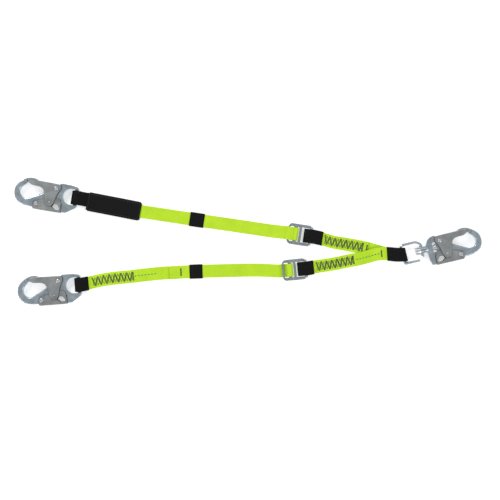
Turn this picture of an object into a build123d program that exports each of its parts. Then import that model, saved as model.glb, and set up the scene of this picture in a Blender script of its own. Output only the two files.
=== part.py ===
from build123d import *
import math
import os

# Twin-leg adjustable web lanyard, laid flat. Millimetres, +Z up, +X from the leg hooks to the tail hook.
# ---- driving dimensions ------------------------------------------------------
WEB_W = 25.4            # webbing width
WEB_T = 2.4             # webbing thickness
SLV_WALL = 0.8          # wear sleeve side wall
SLV_SKIN = 1.0          # wear sleeve face wall
GAP = 0.1               # web to sleeve

HOOK_Z = 9.9            # height of the hooks' middle plane above the floor
BODY_H = 5.3            # half thickness of the forged hook body
LOCK_IN, LOCK_OUT = 5.5, 7.0     # locking lever cheeks
GATE_IN, GATE_OUT = 7.2, 8.7     # gate cheeks
EYE_BAR_R = 4.0
RIVET_R, RIVET_HEAD_R = 2.8, 3.9
PIN_R = 2.0
RUN = 0.06               # running clearance round the rivets

GATE_PIVOT = (-39.2, 11.0)
LOCK_PIVOT = (-74.0, -24.1)
GATE_PIN = (-48.4, -16.5)

UP_EYE, UP_ROT = (-336.2, 85.1), -9.5       # upper leg hook: eye bar centre, direction
LO_EYE, LO_ROT = (-330.0, -84.4), 4.5       # lower leg hook
BAIL, TAIL_ROT = (299.2, -25.6), 13.1       # swivel link bail bar centre, swivel axis direction
BAIL_TO_HOOK = 35.5                          # bail bar to the tail hook's own zero
BAIL_R = 2.8

UP_BAR, UP_ADJ, UP_ADJ_Z = (120.7, 10.1), -8.5, 8.1   # upper adjuster: sleeve bar centre, direction, height
LO_BAR, LO_ADJ, LO_ADJ_Z = (111.0, -52.6), 5.5, 8.6   # lower adjuster
BAR_R = 3.0
FRAME_L = 46.0          # sleeve bar centre to the far end of the frame
FRAME_IN = 29.6         # window width
FRAME_OUT = 41.0        # frame width
FRAME_H = 2.0           # half thickness of the frame
CBAR_X, CBAR_HALF = -21.5, 2.3
SLIDE_X, SLIDE_HALF, SLIDE_H = -31.0, 3.5, 2.5

os.makedirs("parts", exist_ok=True)


CENTRE = (-1.626, -0.306)       # middle of the outline, which is the part's own zero


def save(part, name):
    part = part.moved(Location((-CENTRE[0], -CENTRE[1], 0)))
    part.label = name
    export_step(part, "parts/" + name + ".step")


def unit(deg):
    a = math.radians(deg)
    return (math.cos(a), math.sin(a))


def hook_plane(origin, rot, flipped=False):
    u = unit(rot)
    if flipped:
        return Plane(origin=(origin[0], origin[1], HOOK_Z), x_dir=(-u[0], -u[1], 0), z_dir=(0, 0, -1))
    return Plane(origin=(origin[0], origin[1], HOOK_Z), x_dir=(u[0], u[1], 0), z_dir=(0, 0, 1))


# ---- a flat band along a path ------------------------------------------------
# Each station of a path is (x, y, z, side direction in degrees): the band's width lies along the side direction.
def stations(path):
    out = []
    n = len(path)
    for i in range(n):
        p = Vector(path[i][0], path[i][1], path[i][2])
        s = Vector(math.cos(math.radians(path[i][3])), math.sin(math.radians(path[i][3])), 0)
        a = Vector(*path[i - 1][:3]) if i else None
        b = Vector(*path[i + 1][:3]) if i < n - 1 else None
        ti = (p - a).normalized() if a is not None else (b - p).normalized()
        to = (b - p).normalized() if b is not None else ti
        ni = ti.cross(s).normalized()
        no = to.cross(s).normalized()
        up = (ni + no).normalized()
        thick = 1.0 / max(0.5, up.dot(ni))
        tang = (ti + to).normalized()
        wide = 1.0 / max(0.5, math.sqrt(max(0.0, 1 - tang.dot(s) ** 2)))
        out.append((p, s, up, thick, wide))
    return out


def sections(path, width, thickness):
    out = []
    for p, s, up, thick, wide in stations(path):
        with BuildSketch(Plane(origin=p, x_dir=s, z_dir=s.cross(up))) as cut:
            Rectangle(width * wide, thickness * thick)
        out.append(cut.sketch.face())
    return out


def band(path, width, thickness, mode=Mode.ADD):
    loft(sections=sections(path, width, thickness), ruled=True, mode=mode)


def arc_pts(cx, cz, r, a0, a1, n):
    return [(cx + r * math.cos(math.radians(a0 + (a1 - a0) * i / n)),
             cz + r * math.sin(math.radians(a0 + (a1 - a0) * i / n))) for i in range(n + 1)]


def loop_path(bar, heading, zbar, r, nose, side, tops, bottoms, first=80):
    """Loop round a bar. heading points from the bar along the strap; nose is how far the loop's own centre
    stands beyond the bar. tops and bottoms are (distance from the bar, height) along each branch, outwards.
    Returns the top branch inwards, the turn, and the bottom branch outwards."""
    u = unit(heading)
    line = list(reversed(tops)) + arc_pts(-nose, zbar, r, first, 280, 10) + list(bottoms)
    return [(bar[0] + u[0] * s, bar[1] + u[1] * s, z, side) for s, z in line]


def swung(loop, shifts):
    """Sets a loop's outer points sideways by mm and turns them by degrees, the outermost first, so that the strap
    leaves in its own direction."""
    out = list(loop)
    for k, (dy, turn) in enumerate(shifts):
        for i in (k, len(out) - 1 - k):
            x, y, z, side = out[i]
            out[i] = (x, y + dy, z, side + turn)
    return out


def between(a, b, t):
    return tuple(p + (q - p) * t for p, q in zip(a, b))


def px(x, y, z, side):
    """Plan position on a 1.947 mm grid whose zero is at (249, 241.5)."""
    return ((x - 249.0) * 1.947, (241.5 - y) * 1.947, z, side)


# ---- snap hook pieces --------------------------------------------------------
BOWL_OUT = [(-79.4, 23.4), (-84.3, 24.6), (-91.1, 24.4), (-97.9, 22.5), (-104.8, 18.9), (-111.7, 14.0),
            (-117.4, 7.0), (-120.0, -2.7), (-119.2, -11.7), (-115.8, -19.7), (-109.6, -25.8), (-101.0, -29.4),
            (-91.0, -30.8), (-80.5, -31.2)]
BOWL_IN = [(-62.1, 0.5), (-74.8, -7.3), (-84.0, -11.8), (-91.4, -15.6), (-97.7, -16.7), (-103.7, -14.2),
           (-107.7, -9.0), (-108.7, -3.0), (-107.0, 2.6), (-102.6, 8.0), (-98.6, 12.0), (-97.6, 14.8)]


def hook_body(pl, name, swivel):
    with BuildPart() as body:
        with BuildSketch(pl.offset(-BODY_H)):
            with BuildLine():
                Spline(*BOWL_OUT)
                if swivel:
                    back = [BOWL_OUT[-1], (-72.5, -31.2), (-66.0, -28.0), (-57.0, -20.0), (-53.5, -13.6),
                            (-30.0, -13.6), (-24.5, -17.5), (-23.4, -32.6), (-16.5, -32.6), (-13.6, -22.0),
                            (-12.8, -9.0), (-12.8, 9.0), (-16.5, 16.5), (-23.0, 21.0), (-31.0, 22.6)]
                else:
                    back = [BOWL_OUT[-1], (-72.5, -31.2), (-66.0, -28.0), (-57.0, -20.0), (-53.5, -13.6),
                            (-30.0, -13.6), (-24.5, -17.5), (-23.4, -32.6), (-15.5, -32.4), (2.0, -20.6),
                            (3.4, -17.9), (3.4, 17.4), (1.5, 20.2), (-8.5, 21.8), (-19.6, 22.4), (-31.0, 22.6)]
                Polyline(*back)
                hub = [back[-1], (-34.5, 18.8), (-39.2, 19.2), (-44.6, 17.2), (-47.4, 12.0), (-49.5, 6.0),
                       (-55.0, 3.2), BOWL_IN[0]]
                Polyline(*hub)
                Spline(*BOWL_IN)
                Polyline(BOWL_IN[-1], (-97.4, 19.0), (-94.6, 20.9), (-79.7, 21.7), BOWL_OUT[0])
            make_face()
        extrude(amount=2 * BODY_H)
        edges_out = body.edges().filter_by(GeomType.BSPLINE)
        try:
            fillet(edges_out, 2.4)
        except Exception:
            pass
        # nose lips that cover the gate's tip
        with BuildSketch(pl.offset(-8.4)):
            with BuildLine():
                Polyline((-79.9, 23.0), (-84.3, 24.3), (-91.1, 24.1), (-97.9, 22.2), (-104.0, 18.6), (-102.6, 13.0),
                         (-98.4, 14.2), (-97.4, 19.0), (-94.6, 20.9), (-79.7, 21.7), close=True)
            make_face()
        extrude(amount=16.8)
        if swivel:
            with BuildSketch(Plane(origin=pl.from_local_coords((-14.0, 0, 0)), x_dir=pl.y_dir, z_dir=pl.x_dir)):
                Circle(7.2)
            extrude(amount=8.4)
            with BuildSketch(Plane(origin=pl.from_local_coords((-28.2, 0, 0)), x_dir=pl.y_dir, z_dir=pl.x_dir)):
                Circle(4.5)
            extrude(amount=30, mode=Mode.SUBTRACT)
            # lightening hollow round the swivel's riveted end
            with BuildSketch(pl.offset(-BODY_H - 1)):
                with Locations((-27.5, 0)):
                    RectangleRounded(8.4, 20.0, 3.6)
            extrude(amount=2 * BODY_H + 2, mode=Mode.SUBTRACT)
        else:
            # web eye: D-shaped opening with a round bar across its open side
            with BuildSketch(pl.offset(-BODY_H - 1)):
                with BuildLine():
                    Polyline((10.0, -15.6), (-9.7, -15.6))
                    ThreePointArc((-9.7, -15.6), (-25.3, 0), (-9.7, 15.6))
                    Polyline((-9.7, 15.6), (10.0, 15.6), (10.0, -15.6))
                make_face()
            extrude(amount=2 * BODY_H + 2, mode=Mode.SUBTRACT)
            with BuildSketch(Plane(origin=pl.from_local_coords((0, -17.2, 0)), x_dir=pl.x_dir, z_dir=pl.y_dir)):
                Circle(EYE_BAR_R)
            extrude(amount=34.4)
        # gate pivot: bore and spring pocket
        for at, r in ((GATE_PIVOT, 5.9), (LOCK_PIVOT, 5.4)):
            with BuildSketch(pl.offset(-BODY_H - 1)):
                with Locations(at):
                    Circle(RIVET_R)
            extrude(amount=2 * BODY_H + 2, mode=Mode.SUBTRACT)
            with BuildSketch(pl.offset(-2.4)):
                with Locations(at):
                    Circle(r)
                if at is GATE_PIVOT:
                    with Locations((at[0] - 4.0, at[1] + 5.0)):
                        Rectangle(9.0, 14.0)
                else:
                    with Locations((at[0] + 4.0, at[1] - 5.0)):
                        Rectangle(9.0, 14.0)
            extrude(amount=4.8, mode=Mode.SUBTRACT)
    save(body.part, name)
    return body.part


GATE_PTS = [(-95.3, 18.2), (-94.0, 20.0), (-80.0, 20.9), (-52.0, 20.6), (-34.0, 19.9), (-30.6, 17.0), (-30.4, 12.0),
            (-33.3, 6.2), (-36.4, -0.3), (-37.9, -7.0), (-40.7, -18.0), (-44.4, -24.4), (-50.0, -24.8),
            (-55.4, -21.7), (-58.2, -14.8), (-59.1, -7.0), (-62.1, 1.0), (-64.1, 5.6), (-69.5, 9.2),
            (-76.1, 10.1), (-87.3, 10.7), (-95.0, 14.8)]
LOCK_PTS = [(-80.1, -22.7), (-78.8, -19.9), (-71.9, -16.4), (-59.4, -13.1), (-36.8, -8.7), (-32.3, -8.2),
            (-28.0, -10.3), (-26.2, -16.6), (-25.8, -25.6), (-25.6, -34.4), (-78.5, -34.4), (-80.0, -31.6)]
LOCK_WINDOW = [(-51.1, -17.0), (-49.6, -13.7), (-46.4, -14.2), (-39.5, -19.4), (-33.0, -19.4), (-28.4, -25.6),
               (-28.9, -29.4), (-37.6, -29.6), (-50.4, -19.8)]


def gate(pl, name):
    with BuildPart() as part:
        for z0 in (-GATE_OUT, GATE_IN):
            with BuildSketch(pl.offset(z0)):
                with BuildLine():
                    FilletPolyline(*GATE_PTS, radius=0.9, close=True)
                make_face()
                with Locations(GATE_PIVOT):
                    Circle(RIVET_R + RUN, mode=Mode.SUBTRACT)
                with Locations(GATE_PIN):
                    Circle(PIN_R, mode=Mode.SUBTRACT)
            extrude(amount=GATE_OUT - GATE_IN)
        # folded back of the gate, joining the two cheeks
        with BuildSketch(pl.offset(-GATE_IN)):
            with BuildLine():
                Polyline((-94.6, 18.0), (-93.6, 19.8), (-80.0, 20.7), (-52.0, 20.4), (-51.0, 18.8), (-80.0, 19.1),
                         (-92.2, 18.2), (-92.6, 14.0), (-94.2, 14.6), close=True)
            make_face()
        extrude(amount=2 * GATE_IN)
    save(part.part, name)


def lock_lever(pl, name):
    with BuildPart() as part:
        for z0 in (-LOCK_OUT, LOCK_IN):
            with BuildSketch(pl.offset(z0)):
                with BuildLine():
                    FilletPolyline(*LOCK_PTS, radius=0.9, close=True)
                make_face()
                with BuildLine():
                    Polyline(*LOCK_WINDOW, close=True)
                make_face(mode=Mode.SUBTRACT)
                with Locations(LOCK_PIVOT):
                    Circle(RIVET_R + RUN, mode=Mode.SUBTRACT)
            extrude(amount=LOCK_OUT - LOCK_IN)
        with BuildSketch(pl.offset(-LOCK_IN)):
            with Locations((-52.2, -33.65)):
                Rectangle(51.0, 1.5)
        extrude(amount=2 * LOCK_IN)
    save(part.part, name)


def rivet(pl, at, inner, head, name):
    with BuildPart() as part:
        with BuildSketch(pl.offset(-inner)):
            with Locations(at):
                Circle(RIVET_R)
        extrude(amount=2 * inner)
        for z0 in (-head, inner):
            with BuildSketch(pl.offset(z0)):
                with Locations(at):
                    Circle(RIVET_HEAD_R)
            extrude(amount=head - inner)
        try:
            ends = part.edges().filter_by(GeomType.CIRCLE).sort_by(Axis((0, 0, 0), (0, 0, 1)))
            fillet([ends[0], ends[-1]], 0.8)
        except Exception:
            pass
    save(part.part, name)


def cross_pin(pl, at, half, name):
    with BuildPart() as part:
        with BuildSketch(pl.offset(-half)):
            with Locations(at):
                Circle(PIN_R)
        extrude(amount=2 * half)
    save(part.part, name)


def torsion_spring(pl, at, r, legs, name):
    """Close-wound torsion spring: three touching coils of 1.1 mm wire, and its two legs."""
    with BuildPart() as part:
        for z in (-1.05, 0.0, 1.05):
            prof = Plane(origin=pl.from_local_coords((at[0] + r, at[1], z)), x_dir=pl.x_dir, z_dir=-pl.y_dir)
            with BuildSketch(prof):
                Circle(0.6)
            revolve(axis=Axis(pl.from_local_coords((at[0], at[1], 0)), pl.z_dir), revolution_arc=360)
        for (a, b), z in zip(legs, (-1.05, 1.05)):
            pa = pl.from_local_coords((a[0], a[1], z))
            pb = pl.from_local_coords((b[0], b[1], z))
            d = (pb - pa)
            with BuildSketch(Plane(origin=pa, z_dir=d.normalized())):
                Circle(0.55)
            extrude(amount=d.length)
    save(part.part, name)


def hook(tag, pl, swivel=False):
    body = hook_body(pl, "hook_body_" + tag, swivel)
    gate(pl, "gate_" + tag)
    lock_lever(pl, "lock_lever_" + tag)
    rivet(pl, GATE_PIVOT, GATE_OUT + 0.05, HOOK_Z, "gate_rivet_" + tag)
    rivet(pl, LOCK_PIVOT, LOCK_OUT + 0.05, 8.3, "lock_rivet_" + tag)
    cross_pin(pl, GATE_PIN, GATE_OUT + 0.5, "gate_pin_" + tag)
    gx, gy = GATE_PIVOT
    torsion_spring(pl, GATE_PIVOT, 4.2, (((gx - 0.6, gy + 4.2), (gx - 12.0, gy + 6.6)),
                                          ((gx - 4.2, gy + 0.5), (gx - 4.2, gy + 5.6))), "gate_spring_" + tag)
    lx, ly = LOCK_PIVOT
    torsion_spring(pl, LOCK_PIVOT, 4.0, (((lx + 0.6, ly - 4.0), (lx + 7.6, ly - 7.2)),
                                          ((lx + 4.0, ly - 0.5), (lx + 4.0, ly - 5.2))), "lock_spring_" + tag)
    return body


UP_PL = hook_plane(UP_EYE, UP_ROT)
LO_PL = hook_plane(LO_EYE, LO_ROT)
TU = unit(TAIL_ROT)
TAIL_AT = (BAIL[0] + TU[0] * BAIL_TO_HOOK, BAIL[1] + TU[1] * BAIL_TO_HOOK)
TAIL_PL = hook_plane(TAIL_AT, TAIL_ROT, flipped=True)
hook("upper", UP_PL)
hook("lower", LO_PL)
hook("tail", TAIL_PL, swivel=True)

# ---- swivel: headed pin and forged link ---------------------------------------
AX = Plane(origin=TAIL_PL.from_local_coords((-27.0, 0, 0)), x_dir=TAIL_PL.y_dir, z_dir=TAIL_PL.x_dir)
with BuildPart() as swivel_pin:
    with BuildSketch(AX):
        Circle(4.4)
    extrude(amount=27.6)
    with BuildSketch(AX.offset(27.5)):
        Circle(8.2)
    extrude(amount=10.6)
    fillet(swivel_pin.edges().filter_by(GeomType.CIRCLE).sort_by(Axis(AX.origin, AX.z_dir))[-1], 2.0)
    with BuildSketch(AX.offset(-3.0)):
        Circle(6.6)
    extrude(amount=1.7)
    with BuildSketch(AX.offset(-2.0)):
        Circle(4.4)
    extrude(amount=2.5)
save(swivel_pin.part, "swivel_pin")

with BuildPart() as swivel_link:
    with BuildLine(TAIL_PL) as link_path:
        FilletPolyline((BAIL_TO_HOOK, 0), (BAIL_TO_HOOK, 18.3), (6.0, 18.3), (-2.6, 12.0), (-2.6, 5.0), radius=4.0)
    with BuildSketch(Plane(origin=TAIL_PL.from_local_coords((BAIL_TO_HOOK, 0, 0)), x_dir=TAIL_PL.x_dir,
                           z_dir=TAIL_PL.y_dir)):
        Circle(BAIL_R)
    sweep(path=link_path.line)
    mirror(about=Plane(origin=TAIL_PL.origin, x_dir=TAIL_PL.x_dir, z_dir=TAIL_PL.y_dir))
    with BuildSketch(AX.offset(27.0 - 5.4)):
        Circle(7.6)
    extrude(amount=5.6)
    with BuildSketch(AX.offset(15.0)):
        Circle(4.5)
    extrude(amount=20.0, mode=Mode.SUBTRACT)
save(swivel_link.part, "swivel_link")


# ---- adjusters -----------------------------------------------------------------
def adjuster(tag, bar, rot, z):
    u = unit(rot)
    pl = Plane(origin=(bar[0], bar[1], z), x_dir=(u[0], u[1], 0), z_dir=(0, 0, 1))
    with BuildPart() as frame:
        with BuildSketch(pl.offset(-FRAME_H)):
            with Locations(((3.0 - FRAME_L) / 2 - 0.6, 0)):
                RectangleRounded(FRAME_L + 1.8, FRAME_OUT, 8.0)
            # rear window: floating bar and webbing
            with Locations(((CBAR_X - CBAR_HALF - FRAME_L + 3.8) / 2, 0)):
                RectangleRounded(FRAME_L - 3.8 + CBAR_X - CBAR_HALF, FRAME_IN, 3.0, mode=Mode.SUBTRACT)
            # front window: sleeved loop
            with Locations(((CBAR_X + CBAR_HALF + 9.0) / 2, 0)):
                Rectangle(9.0 - CBAR_X - CBAR_HALF, FRAME_IN, mode=Mode.SUBTRACT)
        extrude(amount=2 * FRAME_H)
        chamfer(frame.edges().filter_by(Plane.XY), 0.6)
        with BuildSketch(Plane(origin=pl.from_local_coords((0, -FRAME_OUT / 2 + 3.0, 0)), x_dir=pl.x_dir,
                               z_dir=pl.y_dir)):
            Circle(BAR_R)
        extrude(amount=FRAME_OUT - 6.0)
    save(frame.part, "adjuster_frame_" + tag)
    with BuildPart() as slide:
        with BuildSketch(Plane(origin=pl.from_local_coords((0, -14.4, 0)), x_dir=pl.x_dir, z_dir=pl.y_dir)):
            with Locations((SLIDE_X, 0)):
                RectangleRounded(2 * SLIDE_HALF, 2 * SLIDE_H, 2.4)
        extrude(amount=28.8)
        # forked ends that straddle the rails
        for side in (-1, 1):
            for zz in (FRAME_H + 0.2, -FRAME_H - 1.7):
                with BuildSketch(pl.offset(zz)):
                    with Locations((SLIDE_X, side * 16.35)):
                        RectangleRounded(2 * SLIDE_HALF, 5.5, 1.2)
                extrude(amount=1.5)
    save(slide.part, "slide_bar_" + tag)
    return pl


UP_APL = adjuster("upper", UP_BAR, UP_ADJ, UP_ADJ_Z)
LO_APL = adjuster("lower", LO_BAR, LO_ADJ, LO_ADJ_Z)


# ---- webbing round the floating bars ---------------------------------------------
def local_pts(bar, rot, pts, side):
    u = unit(rot)
    return [(bar[0] + u[0] * s, bar[1] + u[1] * s, z, side) for s, z in pts]


# heights of the strands where they pass the frame's end bar
UP_E_TAIL, UP_E_MAIN = UP_ADJ_Z + FRAME_H + 0.15 + 1.2, UP_ADJ_Z + FRAME_H + 0.15 + 3.7
LO_E_TAIL, LO_E_MAIN = LO_ADJ_Z - FRAME_H - 0.15 - 1.2, LO_ADJ_Z - FRAME_H - 0.15 - 3.7
SPLIT = -FRAME_L - 4.0      # where the bend meets the long strands


def bend_pts(z0, sgn):
    """Side view of the web round the floating bar; sgn +1 passes over the end bar, -1 under it."""
    top = SLIDE_H + 0.15 + WEB_T / 2
    over, under = FRAME_H + 0.15 + 3.7, FRAME_H + 0.15 + 1.2
    pts = [(SPLIT, over), (SLIDE_X - 8.0, over + 0.05), (SLIDE_X - 5.0, over - 0.7), (SLIDE_X - 2.4, top + 0.3),
           (SLIDE_X, top), (SLIDE_X + 1.0, top)]
    pts += arc_pts(SLIDE_X + 1.0, 0, top, 90, -90, 8)[1:]
    pts += [(SLIDE_X - 2.2, -top), (SLIDE_X - 4.7, -2.7), (SLIDE_X - 5.0, -0.6), (SLIDE_X - 5.3, 1.2),
            (SLIDE_X - 6.8, 2.9), (SLIDE_X - 9.2, under + 0.05), (SPLIT, under)]
    return [(s, z0 + sgn * z) for s, z in pts]


UP_SIDE, LO_SIDE = UP_ADJ + 90, LO_ADJ + 90
# the long strands start a hair before the bend, and run level there
UP_MAIN_END = local_pts(UP_BAR, UP_ADJ, [(SPLIT - 4.0, UP_E_MAIN), (SPLIT - 0.1, UP_E_MAIN)], UP_SIDE)
UP_TAIL_END = local_pts(UP_BAR, UP_ADJ, [(SPLIT - 0.1, UP_E_TAIL), (SPLIT - 4.0, UP_E_TAIL)], UP_SIDE)
LO_MAIN_END = local_pts(LO_BAR, LO_ADJ, [(SPLIT - 4.0, LO_E_MAIN), (SPLIT - 0.1, LO_E_MAIN)], LO_SIDE)
LO_TAIL_END = local_pts(LO_BAR, LO_ADJ, [(SPLIT - 0.1, LO_E_TAIL), (SPLIT - 4.0, LO_E_TAIL)], LO_SIDE)
UP_BEND = local_pts(UP_BAR, UP_ADJ, bend_pts(UP_ADJ_Z, 1), UP_SIDE)
LO_BEND = local_pts(LO_BAR, LO_ADJ, bend_pts(LO_ADJ_Z, -1), LO_SIDE)
with BuildPart() as strap_bend_upper:
    band(UP_BEND, WEB_W, WEB_T)
save(strap_bend_upper.part, "strap_bend_upper")
with BuildPart() as strap_bend_lower:
    band(LO_BEND, WEB_W, WEB_T)
save(strap_bend_lower.part, "strap_bend_lower")

# ---- leg straps: sewn eye loop and long strand -------------------------------------
R_EYE = EYE_BAR_R + 0.3 + SLV_SKIN + GAP + WEB_T / 2        # loop radius at the web's middle
UZ_MAIN, UZ_TAIL = 5.05, 2.5
u_loop = loop_path(UP_EYE, UP_ROT, HOOK_Z, R_EYE, 0.0, UP_ROT + 90,
                   [(17.0, 7.8), (22.6, UZ_MAIN)], [(17.0, 2.6), (22.6, UZ_TAIL)], 58)
# from the fold-back's free end, round the eye bar, and away as the long strand
u_back = [px(137, 210.8, UZ_TAIL, 80.5), px(120, 207.5, UZ_TAIL, 79.5), px(104, 204.4, UZ_TAIL, 79.5),
          px(95, 202.7, UZ_TAIL, 80)]
u_main = [px(95, 202.7, UZ_MAIN, 80), px(104, 204.4, UZ_MAIN, 79.5), px(120, 207.5, UZ_MAIN, 79.5),
          px(137, 210.8, UZ_MAIN, 80.5), px(155, 213.5, UZ_MAIN, 81), px(180, 217.3, UZ_MAIN, 81.5),
          px(210, 221.8, UZ_MAIN, 81.5), px(240, 226.2, UZ_MAIN, 81.5), px(258, 228.9, UZ_MAIN + 0.2, 81.5),
          px(268, 230.4, UZ_MAIN + 2.6, 81.5), px(278, 231.8, UP_E_MAIN - 1.2, 81.5)]
UP_MAIN = u_back + list(reversed(u_loop)) + u_main + UP_MAIN_END
with BuildPart() as leg_strap_upper:
    band(UP_MAIN, WEB_W, WEB_T)
save(leg_strap_upper.part, "leg_strap_upper")

UP_TAIL = UP_TAIL_END + [px(278, 231.8, UP_E_TAIL - 1.2, 81.5), px(268, 230.4, UZ_TAIL + 2.6, 81.5),
           px(258, 228.9, UZ_TAIL + 0.2, 81.5), px(240, 226.2, UZ_TAIL, 81.5), px(210, 221.8, UZ_TAIL, 81.5),
           px(183, 217.8, UZ_TAIL, 81.5)]
with BuildPart() as strap_tail_upper:
    band(UP_TAIL, WEB_W, WEB_T)
save(strap_tail_upper.part, "strap_tail_upper")

LZ_MAIN, LZ_TAIL = 2.55, 5.1
l_loop = loop_path(LO_EYE, LO_ROT, HOOK_Z, R_EYE, 0.0, LO_ROT + 90,
                   [(15.5, 7.9), (23.0, 4.3)], [(15.5, 2.5), (23.0, 1.6)], 54)
l_loop = swung(l_loop, [(2.9, 2.0), (1.2, 1.0)])
l_back = [px(142, 275.2, 1.45, 96.0), px(130, 276.7, 1.45, 96.5), px(112, 278.4, 1.45, 97.0), px(98, 280.8, 1.45, 97)]
l_main = [px(98, 280.8, 4.0, 97), px(112, 278.4, 4.0, 97), px(130, 276.7, 4.0, 96.5), px(142, 275.2, 4.0, 96.0),
          px(150, 274.3, 3.2, 95.0), px(158, 273.5, LZ_MAIN, 94.0), px(180, 272.2, LZ_MAIN, 92.5),
          px(205, 271.2, LZ_MAIN, 91.8), px(235, 270.4, LZ_MAIN, 91.5), px(262, 270.2, LZ_MAIN, 92.5),
          px(272, 270.6, LZ_MAIN + 0.1, 94.0)]
LO_MAIN = l_back + list(reversed(l_loop)) + l_main + LO_MAIN_END
with BuildPart() as leg_strap_lower:
    band(LO_MAIN, WEB_W, WEB_T)
save(leg_strap_lower.part, "leg_strap_lower")

LO_TAIL = LO_TAIL_END + [px(272, 270.6, LZ_TAIL + 0.1, 94.0), px(262, 270.2, LZ_TAIL, 92.5),
           px(235, 270.4, LZ_TAIL, 91.5), px(205, 271.2, LZ_TAIL, 91.8), px(180, 272.2, LZ_TAIL, 92.5),
           px(169.5, 272.8, LZ_TAIL, 93.0)]
with BuildPart() as strap_tail_lower:
    band(LO_TAIL, WEB_W, WEB_T)
save(strap_tail_lower.part, "strap_tail_lower")

# ---- yoke strap: one strap from the upper adjuster, round the link, to the lower adjuster -----------
R_BAR = BAR_R + 0.3 + SLV_SKIN + GAP + WEB_T / 2
R_BAIL = BAIL_R + 0.4 + SLV_SKIN + GAP + WEB_T / 2
Y1, Y2, Y3 = 1.45, 4.0, 6.65      # layer heights
uy_loop = loop_path(UP_BAR, UP_ADJ, UP_ADJ_Z, R_BAR, 6.6, UP_SIDE,
                    [(1.0, UP_ADJ_Z + 5.5), (22.4, 7.6), (30.0, 4.4)], [(22.4, 2.6), (30.0, 1.6)])
uy_loop = swung(uy_loop, [(-2.4, -0.6), (-1.2, 0.0)])
ly_loop = loop_path(LO_BAR, LO_ADJ, LO_ADJ_Z, R_BAR, 8.6, LO_SIDE,
                    [(2.5, LO_ADJ_Z + 5.6), (14.5, 8.0), (22.0, 4.6)], [(14.5, 2.7), (22.0, 1.6)])
ly_loop = swung(ly_loop, [(1.8, 0.8), (0.8, 0.0)])
uy_top = [px(368, 248.4, Y2, 77.5), px(360, 246.6, Y2, 78.5), px(345, 244.0, Y2, 79.5), px(330, 241.2, Y2, 80.5)]
uy_bot = [px(330, 241.2, Y1, 80.5), px(345, 244.0, Y1, 79.5), px(360, 246.6, Y1, 78.5), px(370, 248.9, Y1, 79.0),
          px(379, 251.4, Y1 + 0.1, 83.0)]
e_u = unit(5.0)
EZ, E_SIDE = 10.0, TAIL_ROT + 90
e_turn = [(BAIL[0] + e_u[0] * s, BAIL[1] + e_u[1] * s, z, E_SIDE) for s, z in arc_pts(0, EZ, R_BAIL, -100, 100, 10)]
e_in = [(BAIL[0] - 28.5, BAIL[1] + 1.6, 2.6, 93.0), (BAIL[0] - 10.0, BAIL[1] - 0.6, 3.6, 101.0)]
e_out = [(BAIL[0] - 28.5, BAIL[1] + 1.6, 7.7, 93.0)]
ly_out = [px(379, 253.6, Y3 + 0.1, 96.0), px(370, 256.2, Y3, 99.0), px(358, 259.2, Y3, 99.0),
          px(350, 260.6, Y3 - 0.4, 99.0), px(340, 262.8, Y2 + 0.2, 98.8), px(332, 264.3, Y2, 98.3),
          px(323, 265.7, Y2, 97.5)]
ly_back = [px(323, 265.7, Y1, 97.5), px(332, 264.3, Y1, 98.3), px(341, 262.7, Y1, 98.8)]
YOKE = (uy_top + uy_loop + uy_bot + e_in + e_turn + e_out + ly_out + ly_loop + ly_back)
with BuildPart() as yoke_strap:
    band(YOKE, WEB_W, WEB_T)
save(yoke_strap.part, "yoke_strap")


# ---- wear sleeves: tubes over the webbing where it rounds a bar ------------------------
def sleeve(path, name):
    with BuildPart() as part:
        band(path, WEB_W + 2 * GAP + 2 * SLV_WALL, WEB_T + 2 * GAP + 2 * SLV_SKIN)
        first = between(path[0], path[1], -0.2)
        last = between(path[-1], path[-2], -0.2)
        band([first] + path[1:-1] + [last], WEB_W + 2 * GAP, WEB_T + 2 * GAP, mode=Mode.SUBTRACT)
    save(part.part, name)


sleeve(u_loop[1:-1], "eye_sleeve_upper")
sleeve(l_loop[1:-1], "eye_sleeve_lower")
sleeve(uy_loop[1:-1], "adjuster_sleeve_upper")
sleeve(ly_loop[1:-1], "adjuster_sleeve_lower")
sleeve(e_in + e_turn + e_out, "link_sleeve")


# ---- strap keepers, label cover -------------------------------------------------------
def tube(path, width, thick, wall, name):
    with BuildPart() as part:
        band(path, width, thick)
        first = between(path[0], path[1], -0.3)
        last = between(path[-1], path[-2], -0.3)
        band([first] + path[1:-1] + [last], width - 2 * wall, thick - 2 * wall, mode=Mode.SUBTRACT)
    save(part.part, name)


tube([px(190, 218.8, 3.78, 81.5), px(204, 220.9, 3.78, 81.5)], WEB_W + 2.4, 7.3, 1.0, "strap_keeper_upper")
tube([px(189.8, 271.75, 3.83, 92.2), px(202.5, 271.3, 3.83, 91.9)], WEB_W + 2.4, 7.3, 1.0, "strap_keeper_lower")
COVER_W, COVER_WALL = 37.0, 1.0
cover = [px(88.6, 201.4, 4.3, 80), px(95, 202.7, 4.3, 80), px(104, 204.4, 4.3, 79.5), px(120, 207.5, 4.3, 79.5),
         px(137, 210.8, 4.3, 80.5), px(140.5, 211.4, 4.3, 80.5)]
tube(cover, COVER_W, 8.2, COVER_WALL, "label_cover")
with BuildPart() as label_booklet:
    band([px(93, 202.3, 6.8, 80), px(104, 204.4, 6.8, 79.5), px(120, 207.5, 6.8, 79.5), px(136, 210.6, 6.8, 80)],
         30.0, 0.8)
save(label_booklet.part, "label_booklet")
FAST_D = 15.2      # closing tape: distance from the strap's centre line
with BuildPart() as cover_tape:
    band([(p[0] + FAST_D * math.cos(math.radians(p[3])), p[1] + FAST_D * math.sin(math.radians(p[3])), 3.6, p[3])
          for p in cover[1:-1]], 3.6, 3.2)
save(cover_tape.part, "cover_tape")

print("web loops", round(R_EYE, 2), round(R_BAR, 2), round(R_BAIL, 2))
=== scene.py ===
import math

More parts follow.
